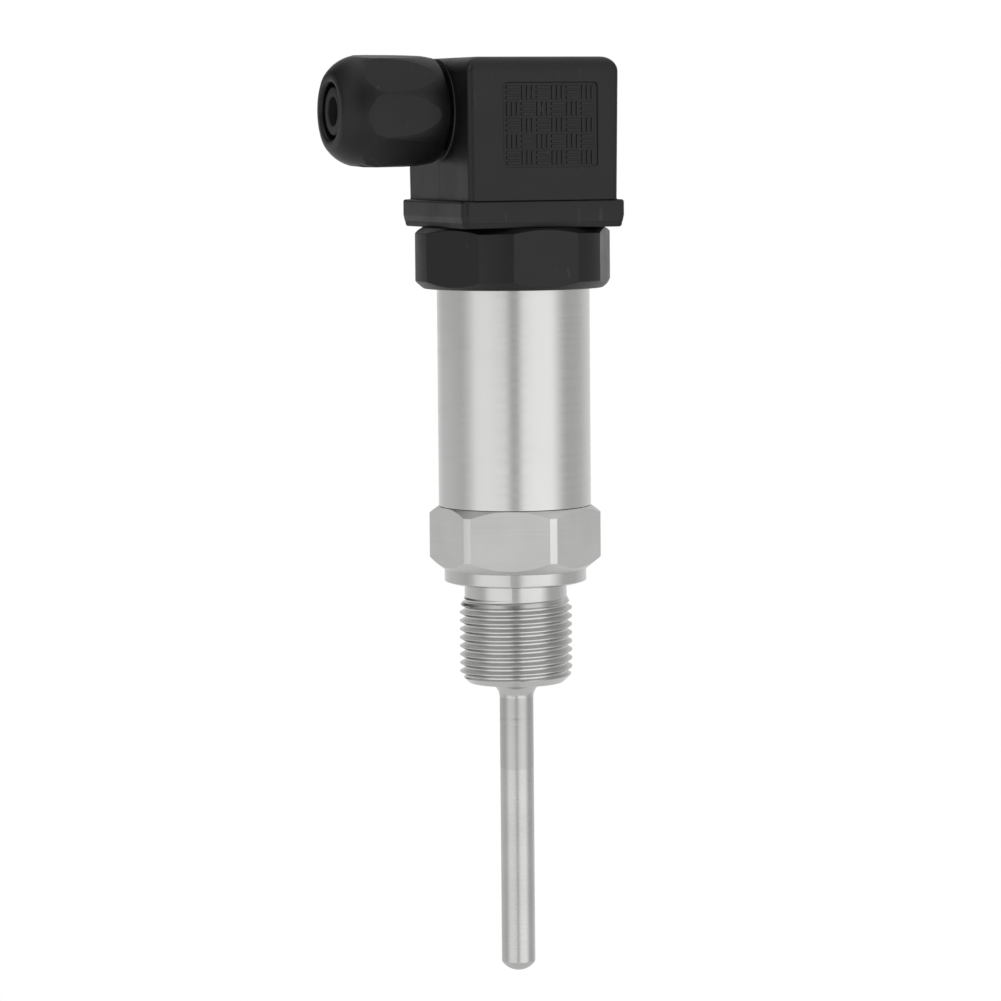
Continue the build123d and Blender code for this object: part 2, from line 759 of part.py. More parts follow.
# Gland nut: a barrel-shaped plastic nut with a round shoulder and eight flats that run out at its rear
nut_crest = nut_rear + nut_crest_from_rear
nut_corner_radius = nut_corner_diameter / 2
barrel_fall = nut_corner_radius - nut_rear_diameter / 2
barrel_radius = (nut_crest_from_rear**2 + barrel_fall**2) / (2 * barrel_fall)
rear_swing = degrees(asin(nut_crest_from_rear / barrel_radius))
corner_swing = degrees(asin(nut_corner_reach / barrel_radius))
shoulder_centre_radius = nut_shoulder_diameter / 2 - nut_shoulder_radius
shoulder_angle = degrees(acos((nut_face_diameter / 2 - shoulder_centre_radius) / nut_shoulder_radius))
shoulder_middle = nut_front - nut_shoulder_radius * sin(radians(shoulder_angle))
with BuildPart() as gland_nut:
    with BuildSketch(gland_plane):
        with BuildLine():
            barrel = CenterArc(
                (nut_crest, nut_corner_radius - barrel_radius),
                barrel_radius,
                90 - corner_swing,
                corner_swing + rear_swing,
            )
            shoulder = CenterArc(
                (shoulder_middle, shoulder_centre_radius),
                nut_shoulder_radius,
                90 - shoulder_angle,
                shoulder_angle - nut_shoulder_lead,
            )
            Line(barrel @ 0, shoulder @ 1)
            Polyline(
                shoulder @ 0,
                (nut_front, nut_opening / 2 + nut_opening_chamfer),
                (nut_front - nut_opening_chamfer, nut_opening / 2),
                (nut_shelf, nut_opening / 2),
                (nut_shelf, nut_bore),
                (nut_rear, nut_bore),
                barrel @ 1,
            )
        make_face()
    revolve(axis=gland_axis)
    with BuildSketch(Plane(origin=(-nut_rear, 0, gland_height), x_dir=(0, 0, 1), z_dir=(-1, 0, 0))):
        RegularPolygon(radius=nut_across_flats / 2, side_count=8, major_radius=False, rotation=nut_turn)
    extrude(amount=nut_length, mode=Mode.INTERSECT)
gland_nut.part.label = "gland_nut"
export_step(gland_nut.part, "parts/gland_nut.step")
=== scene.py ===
import bpy, bmesh
from math import acos, asin, atan2, cos, degrees, pi, radians, sin, tan
from mathutils import Matrix, Vector


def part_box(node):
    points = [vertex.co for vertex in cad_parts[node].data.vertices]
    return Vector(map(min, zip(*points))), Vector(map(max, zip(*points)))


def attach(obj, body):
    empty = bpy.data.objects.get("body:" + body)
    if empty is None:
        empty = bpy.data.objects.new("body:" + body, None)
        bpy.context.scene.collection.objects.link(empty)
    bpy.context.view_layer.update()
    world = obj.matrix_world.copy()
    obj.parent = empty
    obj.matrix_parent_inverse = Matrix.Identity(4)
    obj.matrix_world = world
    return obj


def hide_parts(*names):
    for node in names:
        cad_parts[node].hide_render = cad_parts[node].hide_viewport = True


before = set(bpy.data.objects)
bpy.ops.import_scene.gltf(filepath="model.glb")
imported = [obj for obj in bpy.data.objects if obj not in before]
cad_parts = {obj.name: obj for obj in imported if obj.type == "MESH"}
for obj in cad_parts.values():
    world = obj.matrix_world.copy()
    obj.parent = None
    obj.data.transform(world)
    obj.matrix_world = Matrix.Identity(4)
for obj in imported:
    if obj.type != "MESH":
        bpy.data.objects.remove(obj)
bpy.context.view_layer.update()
mm = 0.001

# The photograph's view: a long lens a little to the left of the plug's panel side,
# at the height of the gland, looking slightly down the probe.
picture_side = 1001
camera_turn = radians(-22.0)
camera_pitch = radians(5.25)
camera_roll = radians(-0.47)
camera_distance = 725 * mm
camera_height = 81.1 * mm
focal_pixels = 4100
axis_pixel = 514.9
sensor_side = 36
camera_data = bpy.data.cameras.new("camera")
camera_data.sensor_width = sensor_side
camera_data.lens = focal_pixels / picture_side * sensor_side
camera_data.shift_x = (picture_side / 2 - axis_pixel) / picture_side
camera = bpy.data.objects.new("camera", camera_data)
bpy.context.scene.collection.objects.link(camera)
camera_place = Vector((sin(camera_turn), -cos(camera_turn), 0)) * camera_distance
camera_place.z = camera_height
camera.matrix_world = (
    Matrix.Translation(camera_place)
    @ Matrix.Rotation(camera_turn, 4, "Z")
    @ Matrix.Rotation(pi / 2 - camera_pitch, 4, "X")
    @ Matrix.Rotation(camera_roll, 4, "Z")
)
bpy.context.scene.camera = camera


# Studio: a round room of soft greys, turned to the camera. The steel reflects its low walls, with
# a broad soft box on each side of a dark slot, and the plug its high ones and the soft light
# overhead. The camera sees plain white.
def node(tree, kind, inputs=None, **settings):
    """Adds a shader node; its inputs are numbers, colours or other nodes' outputs."""
    added = tree.nodes.new("ShaderNode" + kind)
    for key, value in settings.items():
        setattr(added, key, value)
    for key, value in (inputs or {}).items():
        if isinstance(value, bpy.types.NodeSocket):
            tree.links.new(value, added.inputs[key])
        else:
            added.inputs[key].default_value = value
    return added


def sums(tree, operation, *values):
    """What a Math node makes of numbers or other nodes' outputs."""
    return node(tree, "Math", dict(enumerate(values)), operation=operation).outputs[0]


def spread(tree, source, low, high, least=0.0, most=1.0):
    """Carries a value that runs from low to high over to one from least to most."""
    return node(
        tree,
        "MapRange",
        {"Value": source, "From Min": low, "From Max": high, "To Min": least, "To Max": most},
    ).outputs[0]


def ramp(tree, source, stops):
    """A colour ramp in greys, from (place, brightness) pairs."""
    added = node(tree, "ValToRGB", {"Fac": source})
    elements = added.color_ramp.elements
    for place, _ in stops[1:-1]:
        elements.new(place)
    for element, (place, shade) in zip(elements, stops):
        element.position = place
        element.color = (shade, shade, shade, 1)
    return added.outputs["Color"]


world = bpy.data.worlds.new("studio")
bpy.context.scene.world = world
world.use_nodes = True
sky = world.node_tree
facing = node(
    sky,
    "VectorRotate",
    {"Vector": node(sky, "TexCoord").outputs["Generated"], "Angle": -camera_turn},
    rotation_type="Z_AXIS",
)
way = node(sky, "SeparateXYZ", {"Vector": facing.outputs["Vector"]}).outputs
front = sums(sky, "MULTIPLY", way["Y"], -1.0)
azimuth = sums(sky, "ARCTAN2", way["X"], front)
share = sums(sky, "MULTIPLY_ADD", azimuth, 0.5 / pi, 0.5)
low_walls = [
    (-180, 0.88), (-150, 0.74), (-136, 0.68), (-112, 0.67), (-84, 0.56), (-70, 0.76), (-60, 1.04),
    (-14, 1.08), (-8, 0.84), (-4, 0.54), (5, 0.54), (9, 0.88), (13, 1.16), (60, 1.18), (72, 0.78),
    (84, 0.52), (114, 0.56), (140, 0.74), (180, 0.88),
]
high_walls = [
    (-180, 0.70), (-160, 0.60), (-144, 0.06), (-110, 0.13), (-80, 0.45), (-60, 0.80), (-40, 0.85),
    (-20, 0.30), (-8, 0.15), (8, 0.15), (16, 0.50), (30, 0.95), (62, 0.95), (74, 0.55), (90, 0.35),
    (116, 0.45), (130, 0.70), (160, 0.62), (180, 0.70),
]
low, high = (
    ramp(sky, share, [((turn + 180) / 360, shade) for turn, shade in walls])
    for walls in (low_walls, high_walls)
)
wall_rise, roof_rise, roof_grey = (-0.06, 0.10), (0.70, 0.95), 0.8
rise = spread(sky, way["Z"], *wall_rise)
sides = node(sky, "MixRGB", {"Fac": rise, "Color1": low, "Color2": high}).outputs[0]
overhead = spread(sky, way["Z"], *roof_rise)
roof = (roof_grey, roof_grey, roof_grey, 1)
studio = node(sky, "MixRGB", {"Fac": overhead, "Color1": sides, "Color2": roof}).outputs[0]
seen = node(sky, "LightPath")
shown = node(
    sky, "MixRGB", {"Fac": seen.outputs["Is Camera Ray"], "Color1": studio, "Color2": (1, 1, 1, 1)}
)
backdrop = sky.nodes["Background"]
sky.links.new(shown.outputs[0], backdrop.inputs["Color"])
backdrop.inputs["Strength"].default_value = 1.0
bpy.context.scene.view_settings.view_transform = "Standard"

# Floor: a matt pale card well below the probe's tip. It is white to the camera, as in the
# photograph, and it glows a little less in the steel that reflects it.
card_reach, card_height, card_grey, card_in_steel = 0.4, -260 * mm, 0.82, 0.72
floor_data = bmesh.new()
bmesh.ops.create_grid(floor_data, x_segments=1, y_segments=1, size=card_reach)
bmesh.ops.translate(floor_data, vec=(0, 0, card_height), verts=floor_data.verts)
floor_mesh = bpy.data.meshes.new("floor")
floor_data.to_mesh(floor_mesh)
floor_data.free()
floor = bpy.data.objects.new("floor", floor_mesh)
bpy.context.scene.collection.objects.link(floor)
card = bpy.data.materials.new("pale_card")
card.use_nodes = True
card_tree = card.node_tree
card_skin = card_tree.nodes["Principled BSDF"]
card_skin.inputs["Base Color"].default_value = (card_grey, card_grey, card_grey, 1)
card_skin.inputs["Roughness"].default_value = 0.8
card_seen = node(card_tree, "LightPath").outputs
card_level = sums(
    card_tree, "MULTIPLY_ADD", card_seen["Is Camera Ray"], 1 - card_in_steel, card_in_steel
)
card_white = node(card_tree, "Emission", {"Color": (1, 1, 1, 1), "Strength": card_level})
card_glow = sums(card_tree, "MAXIMUM", card_seen["Is Camera Ray"], card_seen["Is Glossy Ray"])
card_mix = node(
    card_tree, "MixShader", {0: card_glow, 1: card_skin.outputs[0], 2: card_white.outputs[0]}
)
card_tree.links.new(card_mix.outputs[0], card_tree.nodes["Material Output"].inputs["Surface"])
floor_mesh.materials.append(card)


# Immersion stem: drawn stainless tube with a low dome, satin from the drawing die, rougher just
# under the fitting and darker there with painted shade, with a few light rings where it was held in
# a collet. Turned from one profile.
def span(name):
    """A CAD node's lowest and highest corners in millimetres."""
    low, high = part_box(name)
    return low / mm, high / mm


def arc(centre, radius, start, end, steps):
    """Profile points along an arc, with its angles in degrees."""
    turns = [radians(start + (end - start) * step / steps) for step in range(steps + 1)]
    return [(centre[0] + radius * cos(turn), centre[1] + radius * sin(turn)) for turn in turns]


def turned(profile, steps=160, closed=True):
    """A skin spun round Z from (radius, height) points; an open profile ends on the axis."""
    data = bmesh.new()
    points = [data.verts.new((radius, 0, height)) for radius, height in profile]
    for one, other in zip(points, points[1:] + points[:1] if closed else points[1:]):
        data.edges.new((one, other))
    bmesh.ops.spin(
        data,
        geom=data.verts[:] + data.edges[:],
        cent=(0, 0, 0),
        axis=(0, 0, 1),
        angle=2 * pi,
        steps=steps,
        use_merge=True,
    )
    return data


def finished(data, name, material, body, nodes, place=None, sharp=28.0, edge=0.0):
    """Makes a piece of a mesh in millimetres: merged, facing outwards, smooth between its sharp
    edges, which a width of edge breaks. A place turns and moves it, in metres."""
    merge_gap = 0.0004
    bmesh.ops.remove_doubles(data, verts=data.verts, dist=merge_gap)
    bmesh.ops.recalc_face_normals(data, faces=data.faces)
    whole = (place or Matrix.Identity(4)) @ Matrix.Scale(mm, 4)
    bmesh.ops.transform(data, matrix=whole, verts=data.verts)
    mesh = bpy.data.meshes.new(name)
    data.to_mesh(mesh)
    data.free()
    mesh.polygons.foreach_set("use_smooth", [True] * len(mesh.polygons))
    mesh.set_sharp_from_angle(angle=radians(sharp))
    mesh.materials.append(material)
    piece = bpy.data.objects.new(name, mesh)
    bpy.context.scene.collection.objects.link(piece)
    if edge:
        rounding = piece.modifiers.new("edge", "BEVEL")
        rounding.width = edge * mm
        rounding.segments = 2
        rounding.limit_method = "ANGLE"
        rounding.angle_limit = radians(sharp)
    piece.modifiers.new("normals", "WEIGHTED_NORMAL").keep_sharp = True
    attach(piece, body)
    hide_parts(*nodes)
    return piece


def noise(tree, place, scale, detail, roughness=0.5):
    """A noise's value at each place on a piece."""
    return node(
        tree,
        "TexNoise",
        {"Vector": place, "Scale": scale, "Detail": detail, "Roughness": roughness},
    ).outputs["Fac"]


noise_range = (0.3, 0.7)


def metal(name, colour, roughness, grain, depth, mottle=0.06, rougher_painted_zone=None):
    """Bare metal; grain is its fineness along x, y and z. A zone that is rougher and has its colour
    multiplied, as painted light where lighter and painted shade where darker, is given by its
    middle and half height, how much rougher it is and what its colour is multiplied by."""
    material = bpy.data.materials.new(name)
    material.use_nodes = True
    tree = material.node_tree
    skin = tree.nodes["Principled BSDF"]
    skin.inputs["Metallic"].default_value = 1.0
    place = node(tree, "TexCoord").outputs["Object"]
    lines = node(tree, "Mapping", {"Vector": place, "Scale": grain}).outputs[0]
    fine = noise(tree, lines, 1.0, 5.0, roughness=0.65)
    broad = noise(tree, place, 110.0, 3.0)
    satin = spread(tree, fine, *noise_range, roughness - 0.05, roughness + 0.07)
    worn = spread(tree, broad, *noise_range, 1 - mottle, 1 + mottle / 2)
    streaks = spread(tree, fine, *noise_range, 0.96, 1.02)
    shade = sums(tree, "MULTIPLY", worn, streaks)
    # The zone is rougher, and its colour factor is painted light or painted shade, not the steel's
    # own colour.
    if rougher_painted_zone:
        middle, reach, rougher, painted_light_factor = rougher_painted_zone
        height = node(tree, "SeparateXYZ", {"Vector": place}).outputs["Z"]
        zone = sums(tree, "COMPARE", height, middle * mm, reach * mm)
        satin = sums(tree, "MULTIPLY_ADD", zone, rougher, satin)
        shade = sums(tree, "MULTIPLY", shade, sums(tree, "MULTIPLY_ADD", zone, painted_light_factor - 1, 1.0))
    tree.links.new(satin, skin.inputs["Roughness"])
    tint = node(tree, "VectorMath", {0: colour, "Scale": shade}, operation="SCALE")
    tree.links.new(tint.outputs[0], skin.inputs["Base Color"])
    bump = node(tree, "Bump", {"Height": fine, "Strength": 1.0, "Distance": depth * mm})
    tree.links.new(bump.outputs[0], skin.inputs["Normal"])
    return material


stem_low, stem_high = span("probe_sheath")
stem_radius = stem_high.x
stem_tip = stem_low.z
dome_radius, dome_edge, stem_wall, tip_wall = 3.6, 0.8, 0.5, 2.5
fit_radius, nose_length, shadow_gap = 2.8, 0.6, 0.01
mark_depth, mark_reach, mark_floor = 0.015, 0.16, 0.06
nose_end = span("process_fitting")[0].z
dome_reach = asin((stem_radius - dome_edge) / (dome_radius - dome_edge))
edge_height = stem_tip + dome_radius - (dome_radius - dome_edge) * cos(dome_reach)
ring_marks = [
    (stem_radius - depth, height + shift)
    for height in (-52.9, -33.3, -25.5, -24.1)
    for depth, shift in (
        (0, -mark_reach), (mark_depth, -mark_floor), (mark_depth, mark_floor), (0, mark_reach),
    )
]
stem_profile = (
    arc((0, stem_tip + dome_radius), dome_radius, -90, degrees(dome_reach) - 90, 12)
    + arc((stem_radius - dome_edge, edge_height), dome_edge, degrees(dome_reach) - 90, 0, 6)[1:]
    + [
        *ring_marks,
        (stem_radius, nose_end - nose_length - shadow_gap),
        (fit_radius, nose_end - nose_length - shadow_gap),
        (fit_radius, stem_high.z),
        (fit_radius - stem_wall, stem_high.z),
        (fit_radius - stem_wall, stem_tip + tip_wall),
        (0, stem_tip + 2 * stem_wall),
    ]
)
# Just under the fitting the stem is rougher, and its colour is painted 0.94 as dark: painted shade.
stem_painted_shade_zone = (-26.9, 6.4, 0.05, 0.94)
stem_steel = metal(
    "stem_steel", (0.64, 0.64, 0.63), 0.27, (260, 260, 2600), 0.002, rougher_painted_zone=stem_painted_shade_zone
)
stem = turned(stem_profile, steps=96, closed=False)
finished(stem, "probe_stem", stem_steel, "root", ["probe_sheath"])


# Process fitting: turned from hexagon bar, its hexagon milled and rougher, and made lighter with
# painted light. The thread is one pitch of profile carried up a helix and held inside its turned
# blank; the collar, hexagon and nose are rings carried on from its ends.
def thread(crest, root, pitch, low, high, blank, phase=0.0, steps=96):
    """A right-hand 60 degree thread round Z, open at both ends; blank gives the most radius at a
    height. Whole turns are made past both ends and cut off there."""
    turns_below, turns_spare, flank_steps = 2, 5, 4
    data = bmesh.new()
    flank = (crest - root) * tan(radians(30))
    top = pitch / 8
    rise = [(root, 0), (root, (pitch - top) / 2 - flank)]
    rise += [
        (root + (crest - root) * part / flank_steps, rise[1][1] + flank * part / flank_steps)
        for part in range(1, flank_steps + 1)
    ]
    profile = rise + [(radius, pitch - height) for radius, height in reversed(rise)]
    start = low + (phase - turns_below) * pitch
    points = [data.verts.new((radius, 0, start + height)) for radius, height in profile]
    for one, other in zip(points, points[1:]):
        data.edges.new((one, other))
    turns = int((high - low) / pitch) + turns_spare
    bmesh.ops.spin(
        data,
        geom=data.verts[:] + data.edges[:],
        cent=(0, 0, 0),
        axis=(0, 0, 1),
        dvec=(0, 0, pitch / steps),
        angle=2 * pi * turns,
        steps=steps * turns,
    )
    merge_gap = 0.001
    bmesh.ops.remove_doubles(data, verts=data.verts, dist=merge_gap)
    for height, side in ((low, -1), (high, 1)):
        bmesh.ops.bisect_plane(
            data,
            geom=data.verts[:] + data.edges[:] + data.faces[:],
            plane_co=(0, 0, height),
            plane_no=(0, 0, side),
            clear_outer=True,
        )
    known = data.verts.layers.float.new("angle")
    for vertex in data.verts:
        vertex[known] = atan2(vertex.co.y, vertex.co.x)
        reach = min(1.0, blank(vertex.co.z) / vertex.co.xy.length)
        vertex.co.x *= reach
        vertex.co.y *= reach
    ends = [edge for edge in data.edges if len(edge.link_faces) == 1]
    middle = (low + high) / 2
    return (
        data,
        [edge for edge in ends if edge.verts[0].co.z < middle],
        [edge for edge in ends if edge.verts[0].co.z > middle],
    )


def opened(data, angles, ring):
    """Starts an open ring of vertices, each of which keeps its angle."""
    known = data.verts.layers.float.get("angle") or data.verts.layers.float.new("angle")
    made = bmesh.ops.create_circle(data, segments=len(angles), radius=1)["verts"]
    for vertex, angle in zip(made, angles):
        vertex[known] = angle
        vertex.co = ring(angle)
    return list({edge for vertex in made for edge in vertex.link_edges})


def carried(data, edges, *rings):
    """Extrudes an open ring through others; each gives a vertex's place from its kept angle."""
    known = data.verts.layers.float["angle"]
    for ring in rings:
        grown = bmesh.ops.extrude_edge_only(data, edges=edges)["geom"]
        fresh = {part for part in grown if isinstance(part, bmesh.types.BMVert)}
        edges = [
            part
            for part in grown
            if isinstance(part, bmesh.types.BMEdge) and set(part.verts) <= fresh
        ]
        for vertex in fresh:
            vertex.co = ring(vertex[known])
    return edges


def circle(radius, height):
    """A round ring."""
    return lambda angle: Vector((radius * cos(angle), radius * sin(angle), height))


def circles(profile):
    """Round rings through (radius, height) points."""
    return [circle(radius, height) for radius, height in profile]


def bar_radius(angle, sides, flat, corner, turn):
    """How far a polygonal bar with turned-down corners reaches at an angle."""
    half = pi / sides
    return min(flat / cos((angle - turn) % (2 * half) - half), corner)


def bar_angles(sides, flat, corner, turn, flat_steps, corner_steps):
    """Angles round such a bar, with one at each edge between a flat and a turned corner."""
    half = pi / sides
    edge = acos(flat / corner)
    angles = []
    for side in range(sides):
        middle = turn + half + 2 * half * side
        angles += [middle + edge * (2 * step / flat_steps - 1) for step in range(flat_steps)]
        angles += [
            middle + edge + 2 * (half - edge) * step / corner_steps for step in range(corner_steps)
        ]
    return angles


def bar_ring(sides, flat, corner, turn, rim, rim_height, corner_height):
    """The curve where a cone from a round rim to the corners meets the bar's sides."""

    def ring(angle):
        reach = bar_radius(angle, sides, flat, corner, turn)
        height = rim_height + (reach - rim) / (corner - rim) * (corner_height - rim_height)
        return Vector((reach * cos(angle), reach * sin(angle), height))

    return ring


thread_crest, thread_root, thread_pitch = 10.0, 9.08, 1.5
thread_end, thread_chamfer, undercut_end, bevel = -17.8, 1.5, -2.5, 1.8
nose_foot, nose_radius, nose_land, nose_stretch = nose_end - nose_length, 2.8, 3.02, 1.15
collar_radius, collar_top, thread_phase = 12.6, 2.45, 0.35
hex_flat, hex_corner, hex_turn, hex_top = 13.5, 15.2, radians(34.3), 13.70
chamfer_low, chamfer_high = 2.1, 1.25
bore, spigot, chamber = fit_radius + 0.05, 12.05, 8.0
spigot_top, chamber_floor, join = 18.70, 9.0, 0.001


def shank(height):
    """The thread's blank: a cone at its end and a bevel into the undercut."""
    end = thread_crest - thread_chamfer + (height - thread_end)
    start = thread_root + (undercut_end - height) * (thread_crest - thread_root) / bevel
    return min(thread_crest, end, start)


fitting, thread_foot, thread_head = thread(
    thread_crest, thread_root, thread_pitch, thread_end, undercut_end, shank, thread_phase
)
collar_rim = carried(
    fitting,
    thread_head,
    *circles(
        [
            (thread_root, -0.12),
            (thread_root + 0.12, 0),
            (11.4, 0),
            (collar_radius - 0.08, 0.36),
            (collar_radius, 0.46),
            (collar_radius, collar_top),
        ]
    ),
)
nose_rim = carried(
    fitting,
    thread_foot,
    *circles(
        [(8.42, thread_end - 0.03)]
        + [
            (nose_land + nose_stretch * reach, nose_foot + rise)
            for reach, rise in arc((nose_radius, 0), nose_radius, 90, 180, 10)
        ]
        + [(bore, nose_foot)]
    ),
)
hexagon = (6, hex_flat, hex_corner, hex_turn)
hex_rim = opened(
    fitting,
    bar_angles(*hexagon, flat_steps=16, corner_steps=4),
    circle(collar_radius + join, collar_top),
)
bore_rim = carried(
    fitting,
    hex_rim,
    bar_ring(*hexagon, collar_radius, collar_top, collar_top + chamfer_low),
    bar_ring(*hexagon, hex_flat, hex_top, hex_top - chamfer_high),
    *circles(
        [
            (hex_flat, hex_top),
            (spigot, hex_top),
            (spigot, spigot_top),
            (chamber, spigot_top),
            (chamber, chamber_floor),
            (bore, chamber_floor),
            (bore, nose_foot + join),
        ]
    ),
)
bmesh.ops.bridge_loops(fitting, edges=collar_rim + hex_rim)
bmesh.ops.bridge_loops(fitting, edges=nose_rim + bore_rim)
# The hexagon is rougher, and its colour is painted 1.2 times lighter: painted light.
hexagon_painted_light_zone = (8.1, 5.6, 0.17, 1.2)
fitting_steel = metal(
    "fitting_steel", (0.66, 0.66, 0.65), 0.20, (45, 45, 3000), 0.002, rougher_painted_zone=hexagon_painted_light_zone
)
finished(
    fitting,
    "process_fitting",
    fitting_steel,
    "root",
    ["process_fitting"],
    sharp=18.0,
)

# Body tube: cut stainless tube, ground round and round, its lower edge lightly broken. It is
# pressed over the fitting's spigot and the base's, each with its rubber ring.
tube_low, tube_high = span("body_tube")
tube_outer = tube_high.x
tube_wall = 1.4
tube_inner = tube_outer - tube_wall
tube = turned(
    [
        (tube_inner, tube_low.z),
        (tube_outer - 0.18, tube_low.z),
        (tube_outer - 0.04, tube_low.z + 0.08),
        (tube_outer, tube_low.z + 0.22),
        (tube_outer, tube_high.z - 0.1),
        (tube_outer - 0.1, tube_high.z),
        (tube_inner, tube_high.z),
    ],
    steps=192,
)
tube_steel = metal("tube_steel", (0.68, 0.68, 0.67), 0.20, (22, 22, 1600), 0.001, mottle=0.02)
finished(tube, "body_tube", tube_steel, "root", ["body_tube"])


# Connector base: a black hexagon moulding with turned corners, satin from its mould, with fine
# handling marks. Rings carried from the socket for the tube, round the hexagon, to the top.
def plastic(name, colour, roughness, grain=2200.0, depth=0.006, seam=None):
    """Moulded plastic, cloudy, with light handling marks. A duller moulding seam is given by its
    place along y, its middle and half height, and the place along x that it lies outside."""
    gloss, seam_gloss, seam_half, rubbed_range, rubbed_most = 0.42, 0.12, 0.07, (0.71, 0.79), 0.35
    material = bpy.data.materials.new(name)
    material.use_nodes = True
    tree = material.node_tree
    skin = tree.nodes["Principled BSDF"]
    place = node(tree, "TexCoord").outputs["Object"]
    fine = noise(tree, place, grain, 3.0)
    cloud = noise(tree, place, 160.0, 4.0)
    upright = node(tree, "Mapping", {"Vector": place, "Scale": (900.0, 900.0, 260.0)})
    marks = noise(tree, upright.outputs[0], 1.0, 1.0)
    rubbed = spread(tree, marks, *rubbed_range, 0.0, rubbed_most)
    shade = spread(tree, cloud, *noise_range, 0.85, 1.12)
    tint = node(tree, "VectorMath", {0: colour, "Scale": shade}, operation="SCALE").outputs[0]
    worn = node(
        tree, "MixRGB", {"Fac": rubbed, "Color1": tint, "Color2": (0.05, 0.05, 0.05, 1)}
    )
    tree.links.new(worn.outputs[0], skin.inputs["Base Color"])
    satin = spread(tree, cloud, *noise_range, roughness - 0.04, roughness + 0.05)
    tree.links.new(satin, skin.inputs["Roughness"])
    bump = node(tree, "Bump", {"Height": fine, "Strength": 1.0, "Distance": depth * mm})
    tree.links.new(bump.outputs[0], skin.inputs["Normal"])
    skin.inputs["Specular IOR Level"].default_value = gloss
    if seam:
        beside, middle, reach, outside = seam
        parts = node(tree, "SeparateXYZ", {"Vector": place}).outputs
        across = sums(tree, "COMPARE", parts["Y"], beside * mm, seam_half * mm)
        along = sums(tree, "COMPARE", parts["Z"], middle * mm, reach * mm)
        side = sums(tree, "LESS_THAN", parts["X"], outside * mm)
        line = sums(tree, "MULTIPLY", sums(tree, "MULTIPLY", across, along), side)
        sheen = sums(tree, "MULTIPLY_ADD", line, seam_gloss - gloss, gloss)
        tree.links.new(sheen, skin.inputs["Specular IOR Level"])
    return material


base_low, base_high = span("connector_base")
base_top = base_high.z
base_bottom = 52.30
base_flat, base_corner, base_turn = 16.45, 17.5, radians(-1.5)
base_bar = (6, base_flat, base_corner, base_turn)
base_land, base_rim = 16.0, 15.9
socket, socket_roof = tube_outer + 0.05, 55.50
groove, groove_top, groove_bottom = 10.8, 52.35, 50.65
insert_hole, insert_depth, screw_hole, screw_depth = 2.55, 8.05, 1.6, 9.2
base = bmesh.new()
base_mouth = opened(
    base, bar_angles(*base_bar, flat_steps=10, corner_steps=10), circle(socket, socket_roof)
)
carried(
    base,
    base_mouth,
    *circles([(socket, base_bottom + 0.2), (socket + 0.2, base_bottom), (15.8, base_bottom)]),
    circle(base_land, base_bottom + 0.1),
    bar_ring(*base_bar, base_land, base_bottom + 0.1, base_bottom + 1.4),
    bar_ring(*base_bar, base_rim, base_top, base_top - 1.0),
    *circles(
        [
            (base_rim, base_top),
            (base_rim - 0.15, base_top),
            (insert_hole + 0.2, base_top),
            (insert_hole, base_top - 0.2),
            (insert_hole, base_top - insert_depth),
            (screw_hole, base_top - insert_depth),
            (screw_hole, base_top - screw_depth),
            (0, base_top - screw_depth),
        ]
    ),
)
carried(
    base,
    base_mouth,
    *circles(
        [
            (spigot, socket_roof),
            (spigot, groove_top),
            (groove, groove_top),
            (groove, groove_bottom),
            (spigot, groove_bottom),
            (spigot, base_low.z),
            (0, base_low.z),
        ]
    ),
)
base_black = plastic("base_black", (0.005, 0.005, 0.0052), 0.38)
finished(
    base,
    "connector_base",
    base_black,
    "root",
    ["connector_base"],
    sharp=14.0,
    edge=0.08,
)

# Contact tabs: flat tin-plated blades with pointed tops, standing in the base round the screw's
# hole. Each is a grown strip, its edges lightly broken by the press tool.
tab_tin = metal("tab_tin", (0.72, 0.71, 0.66), 0.28, (900, 900, 900), 0.002)


def blade(turn):
    """A contact tab at a turn round the axis, grown upwards from its tail in steps of rise and
    width."""
    thick, wide, from_axis, tail = 0.8, 2.4, 8.65, 1.0
    data = bmesh.new()
    made = bmesh.ops.create_grid(data, x_segments=1, y_segments=1, size=0.5)["verts"]
    bmesh.ops.scale(data, vec=(thick, wide, 1), verts=made)
    bmesh.ops.translate(data, vec=(from_axis, 0, base_low.z - tail), verts=made)
    face = data.faces[:]
    for rise, width in [(2.2, 2.4), (0.0, 6.3), (22.6, 6.3), (0.9, 4.5)]:
        grown = bmesh.ops.extrude_face_region(data, geom=face)["geom"]
        fresh = [part for part in grown if isinstance(part, bmesh.types.BMVert)]
        face = [part for part in grown if isinstance(part, bmesh.types.BMFace)]
        bmesh.ops.translate(data, vec=(0, 0, rise), verts=fresh)
        bmesh.ops.scale(data, vec=(1, width / wide, 1), verts=fresh)
        wide = width
    bmesh.ops.rotate(
        data, cent=(0, 0, 0), matrix=Matrix.Rotation(radians(turn), 3, "Z"), verts=data.verts
    )
    return data


def joined(parts):
    """One mesh of several."""
    whole = parts[0]
    for part in parts[1:]:
        step = bpy.data.meshes.new("step")
        part.to_mesh(step)
        part.free()
        whole.from_mesh(step)
        bpy.data.meshes.remove(step)
    return whole


blades = joined([blade(turn) for turn in (0, 90, 180)])
finished(blades, "contact_tabs", tab_tin, "root", ["contact_tabs"], edge=0.1)
finished(blade(270), "earth_tab", tab_tin, "root", ["earth_tab"], edge=0.1)


# Gasket: a flat rubber frame between base and flange, almost flush with the flange, its lower edge
# drawn in a little. Rounded squares, carried round the frame.
def square(half, corner, height, deeper=0.0, steps=8):
    """A rounded square ring, or one that is deeper along Y; its numbers run along the four
    corners, steps + 1 to each."""

    def ring(number):
        side, step = divmod(round(number), steps + 1)
        turn = pi / 2 * (side + step / steps)
        x = (half - corner) * (1, -1, -1, 1)[side]
        y = (half + deeper - corner) * (1, 1, -1, -1)[side]
        return Vector((x + corner * cos(turn), y + corner * sin(turn), height))

    return ring


